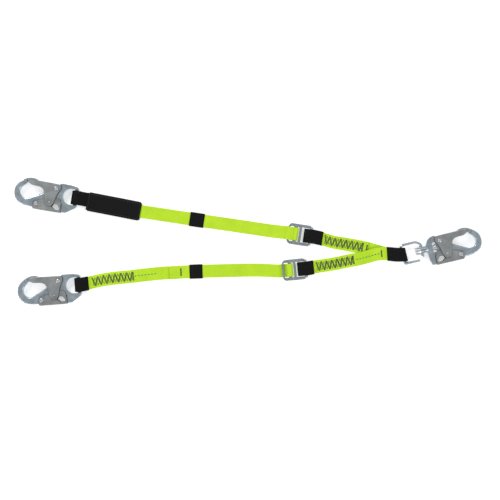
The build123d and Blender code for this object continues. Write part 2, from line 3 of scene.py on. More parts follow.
import bpy
import numpy as np
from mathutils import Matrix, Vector


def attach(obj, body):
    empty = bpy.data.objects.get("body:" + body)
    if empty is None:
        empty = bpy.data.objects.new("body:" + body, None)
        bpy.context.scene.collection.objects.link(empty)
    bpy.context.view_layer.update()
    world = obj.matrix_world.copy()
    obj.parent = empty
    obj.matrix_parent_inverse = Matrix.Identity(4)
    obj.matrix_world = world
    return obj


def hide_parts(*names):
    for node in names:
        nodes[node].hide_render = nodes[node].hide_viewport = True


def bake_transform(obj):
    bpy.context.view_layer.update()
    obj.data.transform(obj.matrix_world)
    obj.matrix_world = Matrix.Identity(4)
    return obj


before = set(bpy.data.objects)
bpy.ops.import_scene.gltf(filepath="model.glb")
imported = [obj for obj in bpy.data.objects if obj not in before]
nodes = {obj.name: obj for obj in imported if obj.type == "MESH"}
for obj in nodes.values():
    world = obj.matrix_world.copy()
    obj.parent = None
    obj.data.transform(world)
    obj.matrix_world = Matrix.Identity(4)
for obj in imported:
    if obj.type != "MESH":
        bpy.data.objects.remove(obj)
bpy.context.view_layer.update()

# ---- the same driving dimensions and strap routes as the CAD, in millimetres ----
WEB_W = 25.4            # webbing width
WEB_T = 2.4             # webbing thickness
SLV_WALL = 0.8          # wear sleeve side wall
SLV_SKIN = 1.0          # wear sleeve face wall
GAP = 0.1               # web to sleeve

HOOK_Z = 9.9            # height of the hooks' middle plane above the floor
BODY_H = 5.3            # half thickness of the forged hook body
LOCK_IN, LOCK_OUT = 5.5, 7.0     # locking lever cheeks
GATE_IN, GATE_OUT = 7.2, 8.7     # gate cheeks
EYE_BAR_R = 4.0
RIVET_R, RIVET_HEAD_R = 2.8, 3.9
PIN_R = 2.0
RUN = 0.06               # running clearance round the rivets

UP_EYE, UP_ROT = (-336.2, 85.1), -9.5       # upper leg hook: eye bar centre, direction
LO_EYE, LO_ROT = (-330.0, -84.4), 4.5       # lower leg hook
BAIL, TAIL_ROT = (299.2, -25.6), 13.1       # swivel link bail bar centre, swivel axis direction
BAIL_TO_HOOK = 35.5                          # bail bar to the tail hook's own zero
BAIL_R = 2.8

UP_BAR, UP_ADJ, UP_ADJ_Z = (120.7, 10.1), -8.5, 8.1   # upper adjuster: sleeve bar centre, direction, height
LO_BAR, LO_ADJ, LO_ADJ_Z = (111.0, -52.6), 5.5, 8.6   # lower adjuster
BAR_R = 3.0
FRAME_L = 46.0          # sleeve bar centre to the far end of the frame
FRAME_IN = 29.6         # window width
FRAME_OUT = 41.0        # frame width
FRAME_H = 2.0           # half thickness of the frame
CBAR_X, CBAR_HALF = -21.5, 2.3
SLIDE_X, SLIDE_HALF, SLIDE_H = -31.0, 3.5, 2.5

CENTRE = (-1.626, -0.306)


def unit(deg):
    a = math.radians(deg)
    return (math.cos(a), math.sin(a))


def arc_pts(cx, cz, r, a0, a1, n):
    return [(cx + r * math.cos(math.radians(a0 + (a1 - a0) * i / n)),
             cz + r * math.sin(math.radians(a0 + (a1 - a0) * i / n))) for i in range(n + 1)]


def loop_path(bar, heading, zbar, r, nose, side, tops, bottoms, first=80):
    """Loop round a bar. heading points from the bar along the strap; nose is how far the loop's own centre
    stands beyond the bar. tops and bottoms are (distance from the bar, height) along each branch, outwards.
    Returns the top branch inwards, the turn, and the bottom branch outwards."""
    u = unit(heading)
    line = list(reversed(tops)) + arc_pts(-nose, zbar, r, first, 280, 10) + list(bottoms)
    return [(bar[0] + u[0] * s, bar[1] + u[1] * s, z, side) for s, z in line]


def swung(loop, shifts):
    """Sets a loop's outer points sideways by mm and turns them by degrees, the outermost first, so that the strap
    leaves in its own direction."""
    out = list(loop)
    for k, (dy, turn) in enumerate(shifts):
        for i in (k, len(out) - 1 - k):
            x, y, z, side = out[i]
            out[i] = (x, y + dy, z, side + turn)
    return out


def swung(loop, shifts):
    """Sets a loop's outer points sideways by mm and turns them by degrees, the outermost first, so that the strap
    leaves in its own direction."""
    out = list(loop)
    for k, (dy, turn) in enumerate(shifts):
        for i in (k, len(out) - 1 - k):
            x, y, z, side = out[i]
            out[i] = (x, y + dy, z, side + turn)
    return out


def between(a, b, t):
    return tuple(p + (q - p) * t for p, q in zip(a, b))


def px(x, y, z, side):
    """Plan position on a 1.947 mm grid whose zero is at (249, 241.5)."""
    return ((x - 249.0) * 1.947, (241.5 - y) * 1.947, z, side)


def local_pts(bar, rot, pts, side):
    u = unit(rot)
    return [(bar[0] + u[0] * s, bar[1] + u[1] * s, z, side) for s, z in pts]


# heights of the strands where they pass the frame's end bar
UP_E_TAIL, UP_E_MAIN = UP_ADJ_Z + FRAME_H + 0.15 + 1.2, UP_ADJ_Z + FRAME_H + 0.15 + 3.7
LO_E_TAIL, LO_E_MAIN = LO_ADJ_Z - FRAME_H - 0.15 - 1.2, LO_ADJ_Z - FRAME_H - 0.15 - 3.7
SPLIT = -FRAME_L - 4.0      # where the bend meets the long strands


def bend_pts(z0, sgn):
    """Side view of the web round the floating bar; sgn +1 passes over the end bar, -1 under it."""
    top = SLIDE_H + 0.15 + WEB_T / 2
    over, under = FRAME_H + 0.15 + 3.7, FRAME_H + 0.15 + 1.2
    pts = [(SPLIT, over), (SLIDE_X - 8.0, over + 0.05), (SLIDE_X - 5.0, over - 0.7), (SLIDE_X - 2.4, top + 0.3),
           (SLIDE_X, top), (SLIDE_X + 1.0, top)]
    pts += arc_pts(SLIDE_X + 1.0, 0, top, 90, -90, 8)[1:]
    pts += [(SLIDE_X - 2.2, -top), (SLIDE_X - 4.7, -2.7), (SLIDE_X - 5.0, -0.6), (SLIDE_X - 5.3, 1.2),
            (SLIDE_X - 6.8, 2.9), (SLIDE_X - 9.2, under + 0.05), (SPLIT, under)]
    return [(s, z0 + sgn * z) for s, z in pts]


UP_SIDE, LO_SIDE = UP_ADJ + 90, LO_ADJ + 90
# the long strands start a hair before the bend, and run level there
UP_MAIN_END = local_pts(UP_BAR, UP_ADJ, [(SPLIT - 4.0, UP_E_MAIN), (SPLIT - 0.1, UP_E_MAIN)], UP_SIDE)
UP_TAIL_END = local_pts(UP_BAR, UP_ADJ, [(SPLIT - 0.1, UP_E_TAIL), (SPLIT - 4.0, UP_E_TAIL)], UP_SIDE)
LO_MAIN_END = local_pts(LO_BAR, LO_ADJ, [(SPLIT - 4.0, LO_E_MAIN), (SPLIT - 0.1, LO_E_MAIN)], LO_SIDE)
LO_TAIL_END = local_pts(LO_BAR, LO_ADJ, [(SPLIT - 0.1, LO_E_TAIL), (SPLIT - 4.0, LO_E_TAIL)], LO_SIDE)
UP_BEND = local_pts(UP_BAR, UP_ADJ, bend_pts(UP_ADJ_Z, 1), UP_SIDE)
LO_BEND = local_pts(LO_BAR, LO_ADJ, bend_pts(LO_ADJ_Z, -1), LO_SIDE)
R_EYE = EYE_BAR_R + 0.3 + SLV_SKIN + GAP + WEB_T / 2        # loop radius at the web's middle
UZ_MAIN, UZ_TAIL = 5.05, 2.5
u_loop = loop_path(UP_EYE, UP_ROT, HOOK_Z, R_EYE, 0.0, UP_ROT + 90,
                   [(17.0, 7.8), (22.6, UZ_MAIN)], [(17.0, 2.6), (22.6, UZ_TAIL)], 58)
# from the fold-back's free end, round the eye bar, and away as the long strand
u_back = [px(137, 210.8, UZ_TAIL, 80.5), px(120, 207.5, UZ_TAIL, 79.5), px(104, 204.4, UZ_TAIL, 79.5),
          px(95, 202.7, UZ_TAIL, 80)]
u_main = [px(95, 202.7, UZ_MAIN, 80), px(104, 204.4, UZ_MAIN, 79.5), px(120, 207.5, UZ_MAIN, 79.5),
          px(137, 210.8, UZ_MAIN, 80.5), px(155, 213.5, UZ_MAIN, 81), px(180, 217.3, UZ_MAIN, 81.5),
          px(210, 221.8, UZ_MAIN, 81.5), px(240, 226.2, UZ_MAIN, 81.5), px(258, 228.9, UZ_MAIN + 0.2, 81.5),
          px(268, 230.4, UZ_MAIN + 2.6, 81.5), px(278, 231.8, UP_E_MAIN - 1.2, 81.5)]
UP_MAIN = u_back + list(reversed(u_loop)) + u_main + UP_MAIN_END

UP_TAIL = UP_TAIL_END + [px(278, 231.8, UP_E_TAIL - 1.2, 81.5), px(268, 230.4, UZ_TAIL + 2.6, 81.5),
           px(258, 228.9, UZ_TAIL + 0.2, 81.5), px(240, 226.2, UZ_TAIL, 81.5), px(210, 221.8, UZ_TAIL, 81.5),
           px(183, 217.8, UZ_TAIL, 81.5)]

LZ_MAIN, LZ_TAIL = 2.55, 5.1
l_loop = loop_path(LO_EYE, LO_ROT, HOOK_Z, R_EYE, 0.0, LO_ROT + 90,
                   [(15.5, 7.9), (23.0, 4.3)], [(15.5, 2.5), (23.0, 1.6)], 54)
l_loop = swung(l_loop, [(2.9, 2.0), (1.2, 1.0)])
l_back = [px(142, 275.2, 1.45, 96.0), px(130, 276.7, 1.45, 96.5), px(112, 278.4, 1.45, 97.0), px(98, 280.8, 1.45, 97)]
l_main = [px(98, 280.8, 4.0, 97), px(112, 278.4, 4.0, 97), px(130, 276.7, 4.0, 96.5), px(142, 275.2, 4.0, 96.0),
          px(150, 274.3, 3.2, 95.0), px(158, 273.5, LZ_MAIN, 94.0), px(180, 272.2, LZ_MAIN, 92.5),
          px(205, 271.2, LZ_MAIN, 91.8), px(235, 270.4, LZ_MAIN, 91.5), px(262, 270.2, LZ_MAIN, 92.5),
          px(272, 270.6, LZ_MAIN + 0.1, 94.0)]
LO_MAIN = l_back + list(reversed(l_loop)) + l_main + LO_MAIN_END

LO_TAIL = LO_TAIL_END + [px(272, 270.6, LZ_TAIL + 0.1, 94.0), px(262, 270.2, LZ_TAIL, 92.5),
           px(235, 270.4, LZ_TAIL, 91.5), px(205, 271.2, LZ_TAIL, 91.8), px(180, 272.2, LZ_TAIL, 92.5),
           px(169.5, 272.8, LZ_TAIL, 93.0)]

# ---- yoke strap: one strap from the upper adjuster, round the link, to the lower adjuster -----------
R_BAR = BAR_R + 0.3 + SLV_SKIN + GAP + WEB_T / 2
R_BAIL = BAIL_R + 0.4 + SLV_SKIN + GAP + WEB_T / 2
Y1, Y2, Y3 = 1.45, 4.0, 6.65      # layer heights
uy_loop = loop_path(UP_BAR, UP_ADJ, UP_ADJ_Z, R_BAR, 6.6, UP_SIDE,
                    [(1.0, UP_ADJ_Z + 5.5), (22.4, 7.6), (30.0, 4.4)], [(22.4, 2.6), (30.0, 1.6)])
uy_loop = swung(uy_loop, [(-2.4, -0.6), (-1.2, 0.0)])
ly_loop = loop_path(LO_BAR, LO_ADJ, LO_ADJ_Z, R_BAR, 8.6, LO_SIDE,
                    [(2.5, LO_ADJ_Z + 5.6), (14.5, 8.0), (22.0, 4.6)], [(14.5, 2.7), (22.0, 1.6)])
ly_loop = swung(ly_loop, [(1.8, 0.8), (0.8, 0.0)])
uy_top = [px(368, 248.4, Y2, 77.5), px(360, 246.6, Y2, 78.5), px(345, 244.0, Y2, 79.5), px(330, 241.2, Y2, 80.5)]
uy_bot = [px(330, 241.2, Y1, 80.5), px(345, 244.0, Y1, 79.5), px(360, 246.6, Y1, 78.5), px(370, 248.9, Y1, 79.0),
          px(379, 251.4, Y1 + 0.1, 83.0)]
e_u = unit(5.0)
EZ, E_SIDE = 10.0, TAIL_ROT + 90
e_turn = [(BAIL[0] + e_u[0] * s, BAIL[1] + e_u[1] * s, z, E_SIDE) for s, z in arc_pts(0, EZ, R_BAIL, -100, 100, 10)]
e_in = [(BAIL[0] - 28.5, BAIL[1] + 1.6, 2.6, 93.0), (BAIL[0] - 10.0, BAIL[1] - 0.6, 3.6, 101.0)]
e_out = [(BAIL[0] - 28.5, BAIL[1] + 1.6, 7.7, 93.0)]
ly_out = [px(379, 253.6, Y3 + 0.1, 96.0), px(370, 256.2, Y3, 99.0), px(358, 259.2, Y3, 99.0),
          px(350, 260.6, Y3 - 0.4, 99.0), px(340, 262.8, Y2 + 0.2, 98.8), px(332, 264.3, Y2, 98.3),
          px(323, 265.7, Y2, 97.5)]
ly_back = [px(323, 265.7, Y1, 97.5), px(332, 264.3, Y1, 98.3), px(341, 262.7, Y1, 98.8)]
YOKE = (uy_top + uy_loop + uy_bot + e_in + e_turn + e_out + ly_out + ly_loop + ly_back)


COVER_W, COVER_WALL = 37.0, 1.0
cover = [px(88.6, 201.4, 4.3, 80), px(95, 202.7, 4.3, 80), px(104, 204.4, 4.3, 79.5), px(120, 207.5, 4.3, 79.5),
         px(137, 210.8, 4.3, 80.5), px(140.5, 211.4, 4.3, 80.5)]


# ---- helpers ---------------------------------------------------------------------------
def spline(path, step=2.2):
    """Smooth resampling of a strap route (Catmull-Rom with chord spacing). Rows of x, y, z, side degrees, in mm."""
    p = np.array(path, float)
    p[:, 0] -= CENTRE[0]
    p[:, 1] -= CENTRE[1]
    d = np.maximum(1e-6, np.linalg.norm(np.diff(p[:, :3], axis=0), axis=1))
    tan = np.zeros_like(p)
    for i in range(len(p)):
        if i == 0:
            tan[i] = (p[1] - p[0]) / d[0]
        elif i == len(p) - 1:
            tan[i] = (p[-1] - p[-2]) / d[-1]
        else:
            a, b = d[i - 1], d[i]
            tan[i] = ((p[i] - p[i - 1]) / a * b + (p[i + 1] - p[i]) / b * a) / (a + b)
    out = []
    for i in range(len(p) - 1):
        n = max(1, int(math.ceil(d[i] / step)))
        for k in range(n):
            t = k / n
            h00, h10 = 2 * t ** 3 - 3 * t ** 2 + 1, t ** 3 - 2 * t ** 2 + t
            h01, h11 = -2 * t ** 3 + 3 * t ** 2, t ** 3 - t ** 2
            q = h00 * p[i] + h10 * d[i] * tan[i] + h01 * p[i + 1] + h11 * d[i] * tan[i + 1]
            out.append(q)
    out.append(p[-1])
    return np.array(out)


def frames(path, step=1.0, sigma=0.0):
    """Even samples of a route: positions, across and up directions, tangents and lengths. sigma (mm) evens out the
    sideways course, so that a strap bends as one gentle curve between its hardware."""
    q = spline(path, 0.5)
    s = np.concatenate([[0], np.cumsum(np.linalg.norm(np.diff(q[:, :3], axis=0), axis=1))])
    n = max(2, int(round(s[-1] / step)))
    si = np.linspace(0, s[-1], n + 1)
    q = np.stack([np.interp(si, s, q[:, k]) for k in range(4)], axis=1)
    if sigma:
        h = int(min(3 * sigma / step, n // 2))
        ker = np.exp(-0.5 * (np.arange(-h, h + 1) * step / sigma) ** 2)
        ker /= ker.sum()
        for c in (1, 3):
            v = q[:, c]
            pad = np.concatenate([2 * v[0] - v[h:0:-1], v, 2 * v[-1] - v[-2:-h - 2:-1]])
            q[:, c] = np.convolve(pad, ker, mode="valid")
    pos = q[:, :3]
    side = np.stack([np.cos(np.radians(q[:, 3])), np.sin(np.radians(q[:, 3])), np.zeros(len(q))], axis=1)
    t = np.gradient(pos, axis=0)
    t /= np.linalg.norm(t, axis=1)[:, None]
    up = np.cross(t, side)
    up /= np.linalg.norm(up, axis=1)[:, None]
    s = np.concatenate([[0], np.cumsum(np.linalg.norm(np.diff(pos, axis=0), axis=1))])
    return pos, side, up, t, s


def part_of(fr, a, b, more_a=0.0, more_b=0.0):
    """The stretch of a route between two of its points, lengthened at either end by so many mm."""
    pos, s = fr[0], fr[4]
    ka, kb = (int(np.argmin(np.linalg.norm(pos - np.array([q[0] - CENTRE[0], q[1] - CENTRE[1], q[2]]), axis=1)))
              for q in (a, b))
    if ka > kb:
        ka, kb, more_a, more_b = kb, ka, more_b, more_a
    k0 = int(np.searchsorted(s, s[ka] - more_a))
    k1 = min(len(s) - 1, int(np.searchsorted(s, s[kb] + more_b)))
    cut = [v[k0:k1 + 1] for v in fr]
    cut[4] = cut[4] - cut[4][0]
    return tuple(cut)


def add_object(name, verts, faces, uvs=None, smooth=True):
    me = bpy.data.meshes.new(name)
    me.from_pydata([tuple(v * 0.001) for v in verts], [], faces)
    me.validate()
    if uvs is not None:
        lay = me.uv_layers.new(name="UVMap")
        for poly in me.polygons:
            for li in poly.loop_indices:
                lay.data[li].uv = uvs[poly.index][li - poly.loop_start]
    ob = bpy.data.objects.new(name, me)
    bpy.context.scene.collection.objects.link(ob)
    for poly in me.polygons:
        poly.use_smooth = smooth
    return ob


def ring(width, thick, edge, n=5):
    """Rounded-rectangle section: (across, up) points, anticlockwise, with extra points across the faces."""
    w, h = width / 2, thick / 2
    e = min(edge, h * 0.98)
    pts = []
    for sx, sy, a0 in ((1, 1, 0), (-1, 1, 90), (-1, -1, 180), (1, -1, 270)):
        for k in range(n + 1):
            a = math.radians(a0 + 90 * k / n)
            pts.append((sx * (w - e) + e * math.cos(a), sy * (h - e) + e * math.sin(a)))
        if a0 in (0, 180):
            for k in range(1, 8):
                f = k / 8
                pts.append((sx * (w - e) * (1 - 2 * f), sy * h))
    return pts


def skin(name, path, width, thick, edge=0.9, caps=True, step=2.2, wfun=None, tfun=None, bow=0.0, frame_data=None):
    """Solid band along a route, with UVs in millimetres (along, across)."""
    pos, side, up, t, s = frame_data or frames(path, step)
    verts, faces, uvs = [], [], []
    m = None
    total = s[-1]
    for i in range(len(pos)):
        w = width * (wfun(s[i], total) if wfun else 1.0)
        h = thick * (tfun(s[i], total) if tfun else 1.0)
        sec = ring(w, h, edge)
        m = len(sec)
        for a, b in sec:
            lift = bow * math.cos(math.pi * a / max(w, 1e-3)) if b > 0 else 0.0
            verts.append(pos[i] + side[i] * a + up[i] * (b + lift))
    sec = ring(width, thick, edge)
    per = [0.0]
    for k in range(m):
        a, b = sec[k], sec[(k + 1) % m]
        per.append(per[-1] + math.dist(a, b))
    for i in range(len(pos) - 1):
        for k in range(m):
            k2 = (k + 1) % m
            faces.append((i * m + k, i * m + k2, (i + 1) * m + k2, (i + 1) * m + k))
            uvs.append(((s[i], per[k]), (s[i], per[k + 1]), (s[i + 1], per[k + 1]), (s[i + 1], per[k])))
    if caps:
        faces.append(tuple(reversed(range(m))))
        uvs.append(tuple((0.0, a) for a, b in reversed(sec)))
        n0 = (len(pos) - 1) * m
        faces.append(tuple(range(n0, n0 + m)))
        uvs.append(tuple((total, a) for a, b in sec))
    ob = add_object(name, verts, faces, uvs)
    fix_normals(ob)
    return ob


def hollow(name, path, w_out, t_out, w_in, t_in, edge=1.1, step=1.2, frame_data=None, wfun=None, tfun=None):
    """Tube along a route: outer and inner skins joined at both open ends by a rolled hem."""
    pos, side, up, t, s = frame_data or frames(path, step)
    verts, faces, uvs = [], [], []
    total = s[-1]
    so, si = ring(w_out, t_out, edge), ring(w_in, t_in, min(edge, t_in * 0.45))
    m = len(so)
    rings = []
    n = len(pos)
    for i in range(n):
        w = w_out * (wfun(s[i], total) if wfun else 1.0)
        h = t_out * (tfun(s[i], total) if tfun else 1.0)
        rings.append((i, ring(w, h, edge)))
    mid_end = [((a + c) / 2, (b + d) / 2) for (a, b), (c, d) in zip(so, si)]
    order = rings + [("e1", mid_end)] + [(i, si) for i in reversed(range(n))] + [("e0", mid_end)]
    along = []
    for tag, sec in order:
        if tag == "e1":
            p, sd, u = pos[-1] + t[-1] * 0.35, side[-1], up[-1]
            along.append(total)
        elif tag == "e0":
            p, sd, u = pos[0] - t[0] * 0.35, side[0], up[0]
            along.append(0.0)
        else:
            p, sd, u = pos[tag], side[tag], up[tag]
            along.append(s[tag])
        for a, b in sec:
            verts.append(p + sd * a + u * b)
    per = [0.0]
    for k in range(m):
        per.append(per[-1] + math.dist(so[k], so[(k + 1) % m]))
    r = len(order)
    for i in range(r):
        j = (i + 1) % r
        for k in range(m):
            k2 = (k + 1) % m
            faces.append((i * m + k, i * m + k2, j * m + k2, j * m + k))
            uvs.append(((along[i], per[k]), (along[i], per[k + 1]), (along[j], per[k + 1]), (along[j], per[k])))
    ob = add_object(name, verts, faces, uvs)
    fix_normals(ob)
    return ob


def fix_normals(ob):
    import bmesh
    bm = bmesh.new()
    bm.from_mesh(ob.data)
    bmesh.ops.recalc_face_normals(bm, faces=bm.faces)
    bm.to_mesh(ob.data)
    bm.free()


def on_path(fr, s0, across, lift):
    """Point above a route's surface at length s0 along it, offset across, raised by lift; and its directions."""
    pos, side, up, t, s = fr
    p = np.array([np.interp(s0, s, pos[:, k]) for k in range(3)])
    sd = np.array([np.interp(s0, s, side[:, k]) for k in range(3)])
    u = np.array([np.interp(s0, s, up[:, k]) for k in range(3)])
    return p + sd * across + u * lift, u / np.linalg.norm(u)


def stitches(name, fr, runs, sgn, thick=1.2, stitch=3.0, gap=0.9, r=0.42):
    """Rows of thread stitches: each run is a list of (along, across) corners in mm; every stitch is a rounded
    capsule that dips into the web at both ends."""
    verts, faces = [], []
    for run in runs:
        for (a0, b0), (a1, b1) in zip(run[:-1], run[1:]):
            length = math.hypot(a1 - a0, b1 - b0)
            n = max(1, int(round(length / stitch)))
            for k in range(n):
                f0, f1 = (k + gap / stitch / 2) / n, (k + 1 - gap / stitch / 2) / n
                base = len(verts)
                segs = 4
                for q in range(segs + 1):
                    f = f0 + (f1 - f0) * q / segs
                    arch = math.sin(math.pi * q / segs)
                    p, u = on_path(fr, a0 + (a1 - a0) * f, b0 + (b1 - b0) * f, sgn * (thick + 0.25 * arch - 0.12))
                    e, _ = on_path(fr, a0 + (a1 - a0) * (f + 0.01), b0 + (b1 - b0) * (f + 0.01),
                                   sgn * (thick + 0.25 * arch - 0.12))
                    d = e - p
                    d /= max(1e-9, np.linalg.norm(d))
                    w = np.cross(d, u)
                    rr = r * (0.55 + 0.45 * arch)
                    for c in range(6):
                        an = math.tau * c / 6
                        verts.append(p + w * rr * math.cos(an) + u * rr * 0.8 * math.sin(an))
                for q in range(segs):
                    for c in range(6):
                        c2 = (c + 1) % 6
                        faces.append((base + q * 6 + c, base + q * 6 + c2, base + (q + 1) * 6 + c2, base + (q + 1) * 6 + c))
                faces.append(tuple(base + c for c in reversed(range(6))))
                faces.append(tuple(base + segs * 6 + c for c in range(6)))
    ob = add_object(name, verts, faces)
    fix_normals(ob)
    return ob


# ---- materials ------------------------------------------------------------------------------
def new_mat(name):
    m = bpy.data.materials.new(name)
    m.use_nodes = True
    nt = m.node_tree
    return m, nt, nt.nodes["Principled BSDF"]


def math_node(nt, op, a, b=None, c=None):
    n = nt.nodes.new("ShaderNodeMath")
    n.operation = op
    for i, v in enumerate((a, b, c)):
        if v is None:
            continue
        if isinstance(v, (int, float)):
            n.inputs[i].default_value = v
        else:
            nt.links.new(v, n.inputs[i])
    return n.outputs[0]


def noise(nt, vec, scale, detail=3.0, rough=0.55):
    n = nt.nodes.new("ShaderNodeTexNoise")
    n.inputs["Scale"].default_value = scale
    n.inputs["Detail"].default_value = detail
    n.inputs["Roughness"].default_value = rough
    if vec is not None:
        nt.links.new(vec, n.inputs["Vector"])
    return n.outputs[0]


def ramp(nt, fac, stops):
    r = nt.nodes.new("ShaderNodeValToRGB")
    el = r.color_ramp.elements
    while len(el) > 1:
        el.remove(el[-1])
    el[0].position, el[0].color = stops[0][0], (*stops[0][1], 1)
    for p, c in stops[1:]:
        e = el.new(p)
        e.color = (*c, 1)
    nt.links.new(fac, r.inputs[0])
    return r.outputs[0]


def bump(nt, bsdf, height, strength, distance, after=None):
    b = nt.nodes.new("ShaderNodeBump")
    b.inputs["Strength"].default_value = strength
    b.inputs["Distance"].default_value = distance
    nt.links.new(height, b.inputs["Height"])
    if after is not None:
        nt.links.new(after, b.inputs["Normal"])
    nt.links.new(b.outputs[0], bsdf.inputs["Normal"])
    return b.outputs[0]


def web_material(name, dark, mid, light, pitch=1.55, sheen=0.35, rough=0.72, strength=0.55, spec=0.3):
    """Woven webbing: chevron twill of warp yarns and weft ribs, in UV millimetres."""
    m, nt, bsdf = new_mat(name)
    uv = nt.nodes.new("ShaderNodeUVMap")
    uv.uv_map = "UVMap"
    sep = nt.nodes.new("ShaderNodeSeparateXYZ")
    nt.links.new(uv.outputs[0], sep.inputs[0])
    u, v = sep.outputs[0], sep.outputs[1]
    chev = math_node(nt, "PINGPONG", v, 2.1)
    phase = math_node(nt, "ADD", math_node(nt, "MULTIPLY", u, math.tau / pitch),
                      math_node(nt, "MULTIPLY", chev, 1.7))
    twill = math_node(nt, "MULTIPLY_ADD", math_node(nt, "SINE", phase), 0.5, 0.5)
    warp = math_node(nt, "ABSOLUTE", math_node(nt, "SINE", math_node(nt, "MULTIPLY", v, math.pi / 0.7)))
    height = math_node(nt, "MULTIPLY", twill, math_node(nt, "MULTIPLY_ADD", warp, 0.6, 0.4))
    tex = nt.nodes.new("ShaderNodeTexCoord")
    fuzz = noise(nt, tex.outputs["Object"], 900.0, 4.0, 0.7)
    blotch = noise(nt, tex.outputs["Object"], 34.0, 4.0, 0.6)
    mixed = math_node(nt, "ADD", math_node(nt, "MULTIPLY", height, 0.55),
                      math_node(nt, "ADD", math_node(nt, "MULTIPLY", fuzz, 0.2), math_node(nt, "MULTIPLY", blotch, 0.3)))
    col = ramp(nt, mixed, [(0.18, dark), (0.5, mid), (0.86, light)])
    nt.links.new(col, bsdf.inputs["Base Color"])
    rg = math_node(nt, "MULTIPLY_ADD", fuzz, 0.2, rough - 0.1)
    nt.links.new(rg, bsdf.inputs["Roughness"])
    bsdf.inputs["Specular IOR Level"].default_value = spec
    bsdf.inputs["Sheen Weight"].default_value = sheen
    bsdf.inputs["Sheen Roughness"].default_value = 0.5
    hh = math_node(nt, "ADD", height, math_node(nt, "MULTIPLY", fuzz, 0.25))
    bump(nt, bsdf, hh, strength, 0.00028)
    return m


def metal_material(name, lo, hi, rough=0.34, grain=(260.0, 260.0, 260.0), strength=0.12, dist=0.0002, spot=0.5, painted_shade_mix=0.85):
    """Zinc-plated steel: faint mottling of the plating, fine grain, rubbed bright patches, and painted shade where
    ambient occlusion darkens the colour in crevices, holes and between parts.
    """
    m, nt, bsdf = new_mat(name)
    tex = nt.nodes.new("ShaderNodeTexCoord")
    mp = nt.nodes.new("ShaderNodeMapping")
    mp.inputs["Scale"].default_value = grain
    nt.links.new(tex.outputs["Object"], mp.inputs["Vector"])
    fine = noise(nt, mp.outputs[0], 6.0, 4.0, 0.6)
    broad = noise(nt, tex.outputs["Object"], 70.0, 3.0, 0.55)
    mix = math_node(nt, "ADD", math_node(nt, "MULTIPLY", broad, 0.65), math_node(nt, "MULTIPLY", fine, 0.35))
    # painted shade: ambient occlusion darkens the base colour in crevices, holes and where parts meet; the mix weight
    # sets how strongly
    ao = nt.nodes.new("ShaderNodeAmbientOcclusion")
    ao.samples = 8
    ao.inputs["Distance"].default_value = 0.004
    painted_shade = math_node(nt, "POWER", ao.outputs["AO"], 1.6)
    tint = nt.nodes.new("ShaderNodeMix")
    tint.data_type = "RGBA"
    tint.blend_type = "MULTIPLY"
    tint.inputs[0].default_value = painted_shade_mix
    nt.links.new(ramp(nt, mix, [(0.3, lo), (0.7, hi)]), tint.inputs[6])
    nt.links.new(painted_shade, tint.inputs[7])
    nt.links.new(tint.outputs[2], bsdf.inputs["Base Color"])
    bsdf.inputs["Metallic"].default_value = 1.0
    nt.links.new(math_node(nt, "MULTIPLY_ADD", mix, spot * 0.5, rough - spot * 0.25), bsdf.inputs["Roughness"])
    bump(nt, bsdf, fine, strength, dist)
    return m


def thread_material(name, a, b):
    m, nt, bsdf = new_mat(name)
    tex = nt.nodes.new("ShaderNodeTexCoord")
    n = noise(nt, tex.outputs["Object"], 700.0, 3.0, 0.6)
    nt.links.new(ramp(nt, n, [(0.3, a), (0.7, b)]), bsdf.inputs["Base Color"])
    nt.links.new(math_node(nt, "MULTIPLY_ADD", n, 0.3, 0.4), bsdf.inputs["Roughness"])
    bsdf.inputs["Sheen Weight"].default_value = 0.25
    bump(nt, bsdf, n, 0.4, 0.0001)
    return m


LIME = web_material("lime_webbing", (0.33, 0.56, 0.003), (0.53, 0.82, 0.015), (0.7, 0.95, 0.06), sheen=0.06, rough=0.7)
BLACK = web_material("black_webbing", (0.0012, 0.0012, 0.0014), (0.004, 0.004, 0.0044), (0.012, 0.012, 0.013), pitch=1.9,
                     sheen=0.0, rough=0.62, strength=0.7, spec=0.13)
COVER = web_material("cover_fabric", (0.0012, 0.0012, 0.0014), (0.0035, 0.0035, 0.004), (0.01, 0.01, 0.011), pitch=0.9,
                     sheen=0.0, rough=0.5, strength=0.45, spec=0.13)
FORGED = metal_material("zinc_forged", (0.36, 0.42, 0.46), (0.62, 0.68, 0.72), rough=0.25, strength=0.3, dist=0.0003)
STAMPED = metal_material("zinc_stamped", (0.31, 0.325, 0.32), (0.5, 0.51, 0.495), rough=0.34, grain=(90.0, 600.0, 260.0))
# the last mix weight on these metals sets how much painted ambient-occlusion shade darkens their colour
BRIGHT = metal_material("zinc_bright", (0.42, 0.46, 0.49), (0.68, 0.72, 0.75), rough=0.17, painted_shade_mix=0.7)
RIVET = metal_material("zinc_rivet", (0.74, 0.77, 0.8), (0.93, 0.94, 0.96), rough=0.22, painted_shade_mix=0.3)
SPRING = metal_material("spring_wire", (0.25, 0.25, 0.26), (0.4, 0.4, 0.41), rough=0.3, grain=(500.0, 500.0, 500.0))
TEAL = thread_material("thread_teal", (0.001, 0.009, 0.013), (0.003, 0.028, 0.03))
GREEN = thread_material("thread_green", (0.01, 0.22, 0.05), (0.02, 0.4, 0.12))
GREY = thread_material("thread_grey", (0.015, 0.015, 0.017), (0.035, 0.035, 0.04))
PAPER = thread_material("label_paper", (0.62, 0.62, 0.6), (0.74, 0.74, 0.71))


def paint(ob, mat):
    ob.data.materials.clear()
    ob.data.materials.append(mat)


def ride(ob, body, mat):
    paint(ob, mat)
    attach(ob, body)


# ---- camera, floor, light -----------------------------------------------------------------
cam_data = bpy.data.cameras.new("camera")
cam = bpy.data.objects.new("camera", cam_data)
bpy.context.scene.collection.objects.link(cam)
CAM_H = 2.1
cam.location = (0.0039, -0.0162, CAM_H)
cam_data.sensor_width = 36.0
cam_data.lens = 36.0 * (CAM_H - 0.008) / 0.9735
cam_data.clip_end = 20.0
bpy.context.scene.camera = cam

